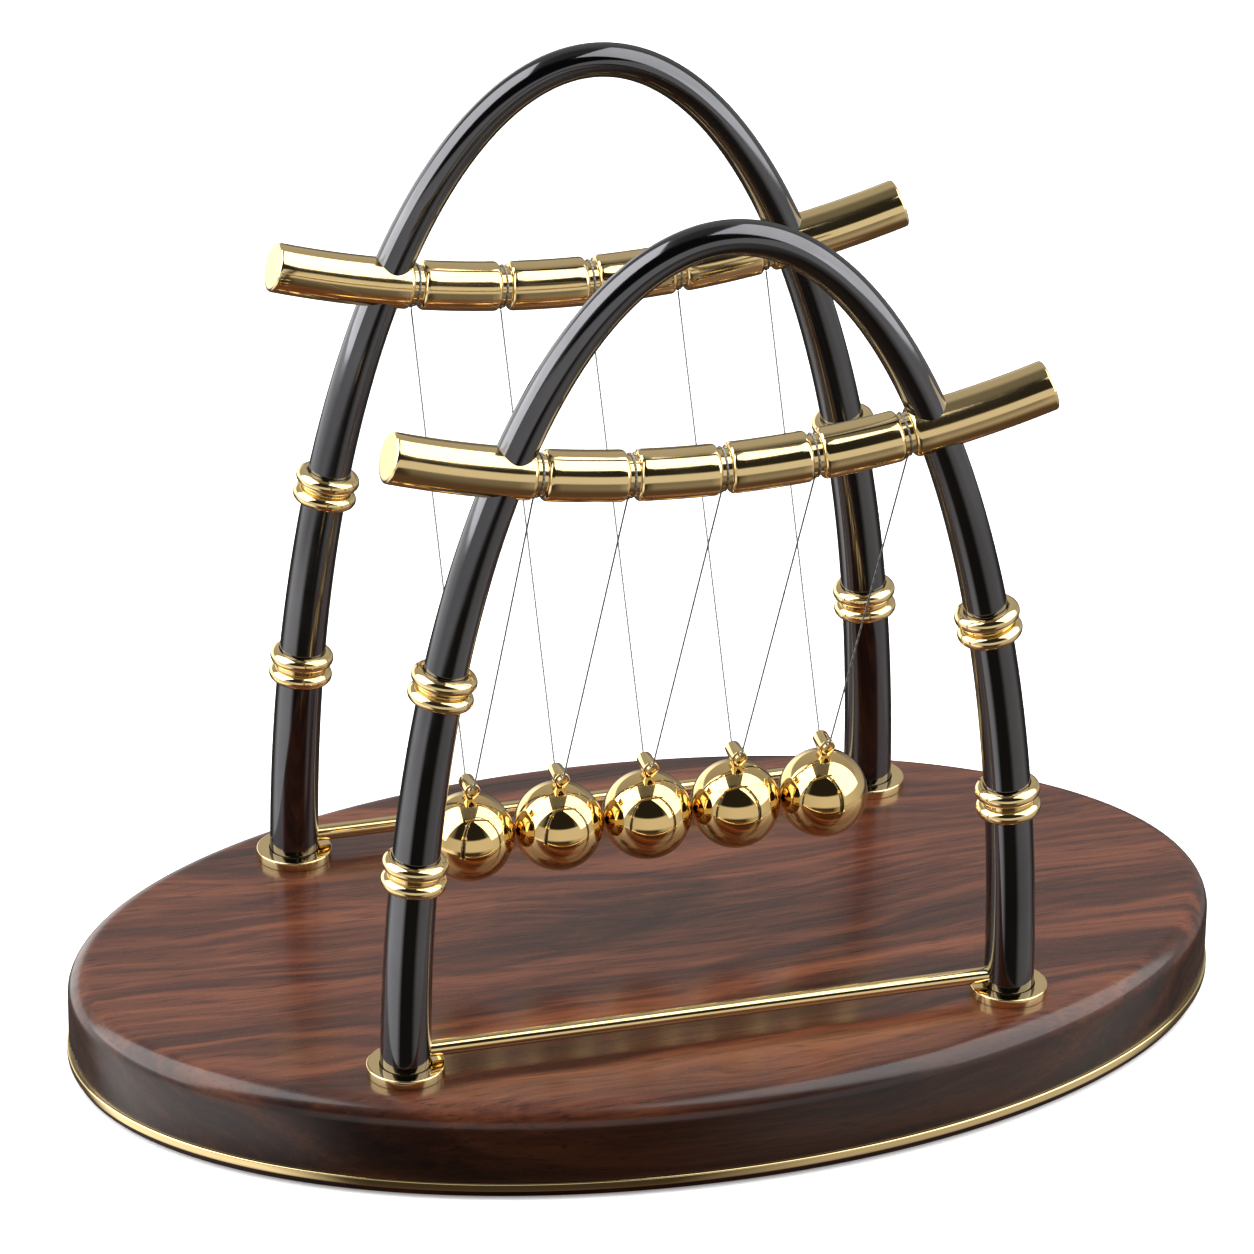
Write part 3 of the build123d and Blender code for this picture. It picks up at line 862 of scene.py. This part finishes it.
class CRADLE_OT_stage(CradleOperator, bpy.types.Operator):
    """Lays the pale floor and sets the soft studio light"""

    bl_idname = "cradle.stage"
    bl_label = "Stage"

    FLOOR_REACH = 4.0
    FLOOR_Z = -0.0002  # just below the felt, so that the two don't share a face
    LIGHT_AIM = Vector((0, 0, 0.08))

    def make(self):
        self.floor()
        self.surroundings()
        self.softbox("left_softbox", -100, 36, (1.05, 1.35), 15.0)
        self.softbox("right_softbox", 68, 40, (1.15, 1.40), 13.0)

    def floor(self):
        """The floor is clear from below, so that the underside can be seen."""
        glow = {"Emission_Color": (1, 1, 1, 1), "Emission_Strength": 0.25}
        pale = {"Base_Color": (*finishes().floor, 1), "Roughness": 0.9, "Specular_IOR_Level": 0.0}
        material, tree, _, _ = new_material("pale_floor", **pale, **glow)
        seen = tree.nodes["Principled BSDF"].outputs["BSDF"]
        clear = add(tree, "BsdfTransparent")["BSDF"]
        one_way = choice(tree, add(tree, "NewGeometry")["Backfacing"], seen, clear)
        wire(tree, tree.nodes["Material Output"].inputs, Surface=one_way)
        bm = bmesh.new()
        bmesh.ops.create_grid(bm, x_segments=1, y_segments=1, size=self.FLOOR_REACH)
        bmesh.ops.translate(bm, verts=bm.verts, vec=(0, 0, self.FLOOR_Z))
        floor = in_scene("floor", as_mesh(bm, "floor"))
        floor.data.materials.append(material)
        floor.visible_glossy = False
        floor.visible_diffuse = False

    def softbox(self, name, azimuth, elevation, size, power):
        """A soft lamp one metre away, mostly for the reflections."""
        data = bpy.data.lights.new(name, "AREA")
        data.shape = "RECTANGLE"
        data.size, data.size_y = size
        data.energy = power
        data.diffuse_factor = 0.18
        light = in_scene(name, data)
        back = towards(azimuth, elevation)
        facing_in = back.to_track_quat("Z", "Y").to_matrix().to_4x4()
        light.matrix_world = Matrix.Translation(self.LIGHT_AIM + back) @ facing_in
        light.visible_camera = False

    def surroundings(self):
        """A room whose light changes with the direction: bright sides and a dark front."""
        world = bpy.data.worlds.new("studio")
        world.use_nodes = True
        tree = world.node_tree
        tree.nodes.clear()
        place = add(tree, "TexCoord")["Generated"]
        front = {"rotation_type": "Z_AXIS", "Angle": radians(-VIEW_AZIMUTH)}
        turned = add(tree, "VectorRotate", "room's front", Vector=place, **front)["Vector"]
        parts = add(tree, "SeparateXYZ", Vector=turned)
        up = parts["Z"]
        around = maths(tree, "ARCTAN2", parts["X"], maths(tree, "MULTIPLY", parts["Y"], -1.0))
        share = mask(tree, "round the room", around, -pi, pi)
        upper, strip, lower = (
            ramp(tree, [((turn + 180) / 360, grey(*light)) for turn, *light in stops], share)
            for stops in (UPPER_ROOM, STRIP_OF_ROOM, LOWER_ROOM)
        )
        zenith = self.between(tree, upper, ZENITH, up, 0.86, 0.995)
        above = self.between(tree, strip, zenith, up, 0.22, 0.30)
        level = self.between(tree, lower, above, up, -0.30, -0.20)
        whole = self.between(tree, level, NADIR, up, -0.55, -0.85)
        # Dull surfaces are lit mostly from above and a little from behind.
        leaning = maths(tree, "ADD", up, maths(tree, "MULTIPLY", parts["Y"], 0.5))
        height = self.smooth(tree, "light from above", leaning, 0.45, 1.05)
        overhead = ramp(tree, [(0.0, grey(0.05, 0.15)), (1.0, grey(2.9, 0.04))], height)
        path = add(tree, "LightPath")
        room = self.background(tree, "light of the room", whole)
        soft = self.background(tree, "light on dull surfaces", overhead)
        lit = choice(tree, path["Is Diffuse Ray"], room, soft)
        seen = self.background(tree, "seen by the eye", (1, 1, 1, 1), 1.05)
        add(tree, "OutputWorld", Surface=choice(tree, path["Is Camera Ray"], lit, seen))
        bpy.context.scene.world = world
        bpy.context.scene.view_settings.view_transform = "Standard"

    def background(self, tree, label, light, strength=1.0):
        return add(tree, "Background", label, Color=light, Strength=strength)["Background"]

    def smooth(self, tree, label, value, start, end):
        return mask(tree, label, value, start, end, interpolation_type="SMOOTHSTEP")

    def between(self, tree, first, second, value, start, end):
        """Passes from the first light to the second as the value goes from start to end."""
        share = self.smooth(tree, "share", value, start, end)
        return mixed(tree, "light", share, first, second)


class CRADLE_OT_plinth(CradleOperator, bpy.types.Operator):
    """Makes the oval plinth, the brass band in its foot, the wooden foot plate and the felt"""

    bl_idname = "cradle.plinth"
    bl_label = "Plinth"

    BEHIND_BAND = 0.0005  # how far the foot plate lies inside the plinth's outline
    FELT_RECESS = 0.0007
    FELT_EDGE = 0.0002
    RIM_OVAL = (0.1285, 0.0775)  # half sizes of an oval just inside the foot plate's rim

    def make(self):
        self.body()
        self.band()
        self.foot_plate()
        self.felt()

    def slab(self, inset, low, high):
        bm = bmesh.new()
        raise_face(bm, plinth_oval(bm, inset, low.z), high.z - low.z)
        return bm

    def body(self):
        low, high = box_of("plinth")
        bm = self.slab(0, low, high)
        round_edges(bm, edges_at(bm, high.z), sizes().plinth_edge, 14)
        round_edges(bm, edges_at(bm, low.z), SMALL_EDGE, 2)
        frame_flats(bm)
        finish_piece(bm, "plinth_body", "lacquered_rosewood", "plinth")

    def band(self):
        low, high = box_of("brass_band")
        bm = bmesh.new()
        edges = oval(bm, extent("brass_band") / 2, 0, low.z, filled=False)
        made = bmesh.ops.extrude_edge_only(bm, edges=edges)["geom"]
        lift(bm, made, (0, 0, high.z - low.z))
        bmesh.ops.recalc_face_normals(bm, faces=bm.faces)
        bmesh.ops.solidify(bm, geom=bm.faces[:], thickness=sizes().band_depth)
        bmesh.ops.recalc_face_normals(bm, faces=bm.faces)
        round_edges(bm, sharp_edges(bm, 60), SMALL_EDGE, 3)
        finish_piece(bm, "band_ring", "polished_brass", "brass_band")

    def foot_plate(self):
        bottom, lip_top = box_of("foot_plate")[0].z, box_of("brass_band")[0].z
        bm = bmesh.new()
        lower = raise_face(bm, plinth_oval(bm, self.BEHIND_BAND, lip_top), bottom - lip_top)
        margin = sizes().felt_margin - self.BEHIND_BAND
        bmesh.ops.inset_region(bm, faces=[lower], thickness=margin)
        flat = [f for f in bm.faces if abs(f.calc_center_median().z - bottom) < SAME_LEVEL]
        raise_face(bm, max(flat, key=lambda f: len(f.verts)), self.FELT_RECESS)
        rim = [e for e in edges_at(bm, bottom) if all(self.on_rim(v.co) for v in e.verts)]
        round_edges(bm, rim, SMALL_EDGE, 3)
        finish_piece(bm, "foot_ring", "bare_rosewood", "foot_plate")

    def on_rim(self, point):
        half_x, half_y = self.RIM_OVAL
        return (point.x / half_x) ** 2 + (point.y / half_y) ** 2 > 1

    def felt(self):
        low, high = box_of("felt_pad")
        bm = self.slab(sizes().felt_margin, low, high)
        round_edges(bm, edges_at(bm, low.z) + edges_at(bm, high.z), self.FELT_EDGE, 2)
        frame_flats(bm)
        piece = finish_piece(bm, "felt_sheet", "pressed_felt", "felt_pad")


class CRADLE_OT_arches(CradleOperator, bpy.types.Operator):
    """Makes the tapered tubes: two legs and a top for each arch"""

    bl_idname = "cradle.arches"
    bl_label = "Arches"

    LEG_RINGS = 56
    TOP_RINGS = 90

    def make(self):
        cross = crossing_angle()
        for row in ROWS:
            self.tube(f"{row}_right_tube", 0.0, cross, self.LEG_RINGS, row, "right_leg")
            self.tube(f"{row}_left_tube", pi, pi - cross, self.LEG_RINGS, row, "left_leg")
            self.tube(f"{row}_top_tube", cross, pi - cross, self.TOP_RINGS, row, "arch_top")

    def tube(self, name, start, end, count, row, part):
        outer = [(arch_place(a, row_y(row)), tube_radius(a)) for a in spread(start, end, count)]
        inner = [(place, radius - sizes().tube_wall) for place, radius in outer[::-1]]
        bm = bmesh.new()
        skin_rings(bm, outer + inner, closed=True)
        finish_piece(bm, name, "black_nickel", f"{row}_{part}")


class CRADLE_OT_flanges(CradleOperator, bpy.types.Operator):
    """Turns the four plain brass discs that the legs stand in"""

    bl_idname = "cradle.flanges"
    bl_label = "Foot flanges"

    FIT = 0.0001  # clearance round the tube
    CHAMFER = 0.0001  # at the foot
    OUTER_EDGE = 0.00035
    INNER_EDGE = 0.0002

    def make(self):
        for row in ROWS:
            for side in SIDES:
                self.disc(f"{row}_{side}")

    def disc(self, corner_name):
        node = f"{corner_name}_foot_flange"
        low, high = box_of(node)
        outer, height = (high.x - low.x) / 2, high.z - low.z
        bore = sizes().tube_foot / 2 + self.FIT
        edge, lip = self.OUTER_EDGE, self.INNER_EDGE
        outline = [(bore, 0.0), (outer - self.CHAMFER, 0.0), (outer, self.CHAMFER)]
        outline += corner((outer - edge, height - edge), edge, 0, 90, 6)
        outline += corner((bore + lip, height - lip), lip, 90, 180, 4)
        bm = bmesh.new()
        place = Matrix.Translation(((low.x + high.x) / 2, (low.y + high.y) / 2, low.z))
        turn(bm, outline, place)
        finish_piece(bm, f"{corner_name}_flange_disc", "turned_brass", node)


class CRADLE_OT_collars(CradleOperator, bpy.types.Operator):
    """Turns the eight collars, two round beads with a narrow waist between them"""

    bl_idname = "cradle.collars"
    bl_label = "Bead collars"

    BEAD_POINTS = 22

    def make(self):
        for row in ROWS:
            for side in SIDES:
                for level in ("lower", "upper"):
                    self.collar(row, side, f"{row}_{side}_{level}")

    def outline(self, angle):
        """The bore, and the two beads with the waist between them."""
        size = sizes()
        bead = size.bead / 2
        lowest = middle("front_right_lower_collar").z - plinth_top()
        ring = tube_radius(arch_angle(lowest)) + size.bead_proud - bead
        bore = tube_radius(angle) + size.collar_fit
        inside = degrees_from(bore - ring, bead)
        shoulder = degrees_from(bore + size.waist - ring, bead)
        half = size.bead_pitch / 2
        lower = corner((ring, -half), bead, -inside, shoulder, self.BEAD_POINTS)
        upper = corner((ring, half), bead, -shoulder, inside, self.BEAD_POINTS)
        return lower + upper

    def collar(self, row, side, name):
        node = f"{name}_collar"
        angle = arch_angle(middle(node).z - plinth_top())
        place = arch_place(angle if SIDES[side] > 0 else pi - angle, row_y(row))
        bm = bmesh.new()
        turn(bm, self.outline(angle), place)
        finish_piece(bm, f"{name}_beads", "turned_brass", node)


class CRADLE_OT_rails(CradleOperator, bpy.types.Operator):
    """Makes the two thin rails that tie the feet of each arch together"""

    bl_idname = "cradle.rails"
    bl_label = "Rails"

    INTO_TUBE = 0.0008
    RINGS = 24

    def make(self):
        for row in ROWS:
            node = f"{row}_rail"
            centre = middle(node)
            radius = extent(node).z / 2
            reach = half_span() - sizes().tube_foot / 2 + self.INTO_TUBE
            along = Vector((1, 0, 0))
            xs = spread(-reach, reach, self.RINGS)
            bm = bmesh.new()
            skin_rings(bm, [(placing(Vector((x, *centre.yz)), along), radius) for x in xs])
            finish_piece(bm, f"{row}_rail_rod", "polished_brass", node)


class CRADLE_OT_crossbars(CradleOperator, bpy.types.Operator):
    """Makes the two sagging crossbars, with a rounded neck over each ball"""

    bl_idname = "cradle.crossbars"
    bl_label = "Crossbars"

    END_MARGIN = 0.0004  # keeps the shading of the flat end apart from its rounded rim
    NECK_MARGIN = 0.00004  # between the floor of a neck and its shoulders

    def make(self):
        profile = self.profile()
        for row in ROWS:
            bm = bmesh.new()
            skin_rings(bm, [(bar_place(along, row_y(row)), radius) for along, radius in profile])
            finish_piece(bm, f"{row}_bar", "polished_brass", f"{row}_crossbar")

    def profile(self):
        """Swing and radius of each ring, from the left end to the right."""
        full, sag, edge = bar_radius(), sizes().bar_sag, sizes().bar_edge
        reach = asin((ball_x(5) + sizes().bar_overhang) / sag)
        rounding = corner((full - edge, 0), edge, -90, 0, 8)
        rim = [(-reach, full - edge - self.END_MARGIN)]
        rim += [(-reach + (along + edge) / sag, radius) for radius, along in rounding]
        neck = self.neck(full)
        rings, left = list(rim), rim[-1][0]
        for number in BALLS:
            swing = neck_swing(number)
            rings += [(a, full) for a in spread(left, swing + neck[0][0] / sag, 10)[1:-1]]
            rings += [(swing + along / sag, radius) for along, radius in neck]
            left = swing + neck[-1][0] / sag
        rings += [(a, full) for a in spread(left, -rim[-1][0], 10)[1:-1]]
        return rings + [(-a, radius) for a, radius in rim[::-1]]

    def neck(self, full):
        """Distance along the bar and radius, across one neck and its two shoulders."""
        shoulder, half = sizes().shoulder, sizes().neck_width / 2
        root = full - sizes().neck_depth
        down = corner((full - shoulder, -half - shoulder), shoulder, 0, 90, 9)
        down = [(along, radius) for radius, along in down]
        land = [(-half + self.NECK_MARGIN, root), (0, root), (half - self.NECK_MARGIN, root)]
        return down + land + [(-along, radius) for along, radius in down[::-1]]


class CRADLE_OT_loops(CradleOperator, bpy.types.Operator):
    """Winds a turn of thread with its knot in each neck of the crossbars"""

    bl_idname = "cradle.loops"
    bl_label = "Thread loops"

    LOOP_STEPS = 72
    KNOT_SHAPE = Matrix.Diagonal((1, 1, 1.5, 1))

    def make(self):
        for row in ROWS:
            bm = bmesh.new()
            for number in BALLS:
                self.loop(bm, number, row_y(row))
            finish_piece(bm, f"{row}_loops", "twisted_thread", f"{row}_thread_loops")

    def loop(self, bm, number, y):
        size, swing = sizes(), neck_swing(number)
        outline = corner((loop_radius(), 0), size.thread / 2, 0, 360, 13)[:-1]
        turn(bm, outline, bar_place(swing, y), self.LOOP_STEPS)
        knot = Matrix.Translation(bar_place(swing, y, knot_drop()).translation)
        sphere(bm, 20, 12, size.knot / 2, knot @ TO_FRONT @ self.KNOT_SHAPE)


class CRADLE_OT_balls(CradleOperator, bpy.types.Operator):
    """Makes the five mirror-polished balls"""

    bl_idname = "cradle.balls"
    bl_label = "Balls"

    def make(self):
        for number in BALLS:
            node = f"ball_{number}"
            bm = bmesh.new()
            sphere(bm, 144, 72, extent(node).x / 2, Matrix.Translation(middle(node)))
            finish_piece(bm, f"{node}_sphere", "mirror_brass", node)


class CRADLE_OT_eyelets(CradleOperator, bpy.types.Operator):
    """Makes the five eyelets: an open barrel that narrows to a neck on the ball"""

    bl_idname = "cradle.eyelets"
    bl_label = "Eyelets"

    SEGMENTS = 56
    OUTER_DROOP = 0.9
    BORE_DROOP = 0.6
    PINCH = 0.25  # how much the lowest point of a ring is drawn in
    EDGE = 0.00018
    NECK_START = 0.0004  # below the middle of the barrel
    NECK_TAPER = 0.5

    def make(self):
        for number in BALLS:
            self.eyelet(number)

    def droop(self, verts, deepen):
        """Pulls the lower half of a ring down and in, to a drop shape."""
        lowest = max(-v.co.z for v in verts)
        for v in verts:
            share = max(0.0, -v.co.z / lowest)
            v.co.z *= 1 + deepen * share
            v.co.x *= 1 - self.PINCH * share

    def eyelet(self, number):
        size = sizes()
        front = Matrix.Translation((0, -size.eye_length / 2, 0)) @ TO_FRONT
        rings = ((size.eye_outer, self.OUTER_DROOP), (size.eye_bore, self.BORE_DROOP))
        bm = bmesh.new()
        loops = []
        for diameter, deepen in rings:
            verts, edges = circle(bm, diameter / 2, self.SEGMENTS, front)
            loops += edges
            self.droop(verts, deepen)
        bmesh.ops.bridge_loops(bm, edges=loops)
        made = bmesh.ops.extrude_face_region(bm, geom=bm.faces[:])["geom"]
        lift(bm, made, (0, size.eye_length, 0))
        bmesh.ops.recalc_face_normals(bm, faces=bm.faces)
        round_edges(bm, sharp_edges(bm, 50), self.EDGE, 4)
        for v in bm.verts:
            share = (-v.co.z - self.NECK_START) / (size.eye_rise - self.NECK_START)
            v.co.y *= 1 - self.NECK_TAPER * min(1.0, max(0.0, share))
        centre = Vector((ball_x(number), 0, eye_height(number)))
        bmesh.ops.translate(bm, verts=bm.verts, vec=centre)
        finish_piece(bm, f"eyelet_{number}_barrel", "turned_brass", f"eyelet_{number}")


class CRADLE_OT_fixings(CradleOperator, bpy.types.Operator):
    """Gives the screws, washers, plugs and spigots their steel finish"""

    bl_idname = "cradle.fixings"
    bl_label = "Hidden fixings"

    def make(self):
        for name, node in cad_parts.items():
            if name.endswith(("base_screws", "base_washers", "_leg_plug", "_joint_spigot")):
                node.data.materials.clear()
                node.data.materials.append(made_finish("plain_steel"))


OPERATORS = (
    CRADLE_OT_camera,
    CRADLE_OT_threads,
    CRADLE_OT_stage,
    CRADLE_OT_plinth,
    CRADLE_OT_arches,
    CRADLE_OT_flanges,
    CRADLE_OT_collars,
    CRADLE_OT_rails,
    CRADLE_OT_crossbars,
    CRADLE_OT_loops,
    CRADLE_OT_balls,
    CRADLE_OT_eyelets,
    CRADLE_OT_fixings,
)


class CRADLE_PT_pieces(bpy.types.Panel):
    """Lists the sizes, the colours and the pieces"""

    bl_idname = "CRADLE_PT_pieces"
    bl_label = "Desk Cradle"
    bl_space_type = "VIEW_3D"
    bl_region_type = "UI"
    bl_category = "Cradle"

    def draw(self, context):
        for group in (context.scene.cradle_sizes, context.scene.cradle_finishes):
            box = self.layout.box()
            for name in group.bl_rna.properties.keys():
                if name not in ("rna_type", "name"):
                    box.prop(group, name)
        for operator in OPERATORS:
            self.layout.operator(operator.bl_idname)


CLASSES = (CradleSizes, CradleFinishes, *OPERATORS, CRADLE_PT_pieces)


def register():
    for made in CLASSES:
        bpy.utils.register_class(made)
    bpy.types.Scene.cradle_sizes = PointerProperty(type=CradleSizes)
    bpy.types.Scene.cradle_finishes = PointerProperty(type=CradleFinishes)


def unregister():
    del bpy.types.Scene.cradle_finishes
    del bpy.types.Scene.cradle_sizes
    for made in reversed(CLASSES):
        bpy.utils.unregister_class(made)


def main():
    register()
    for operator in OPERATORS:
        group, name = operator.bl_idname.split(".")
        getattr(getattr(bpy.ops, group), name)()


if __name__ == "__main__":
    main()
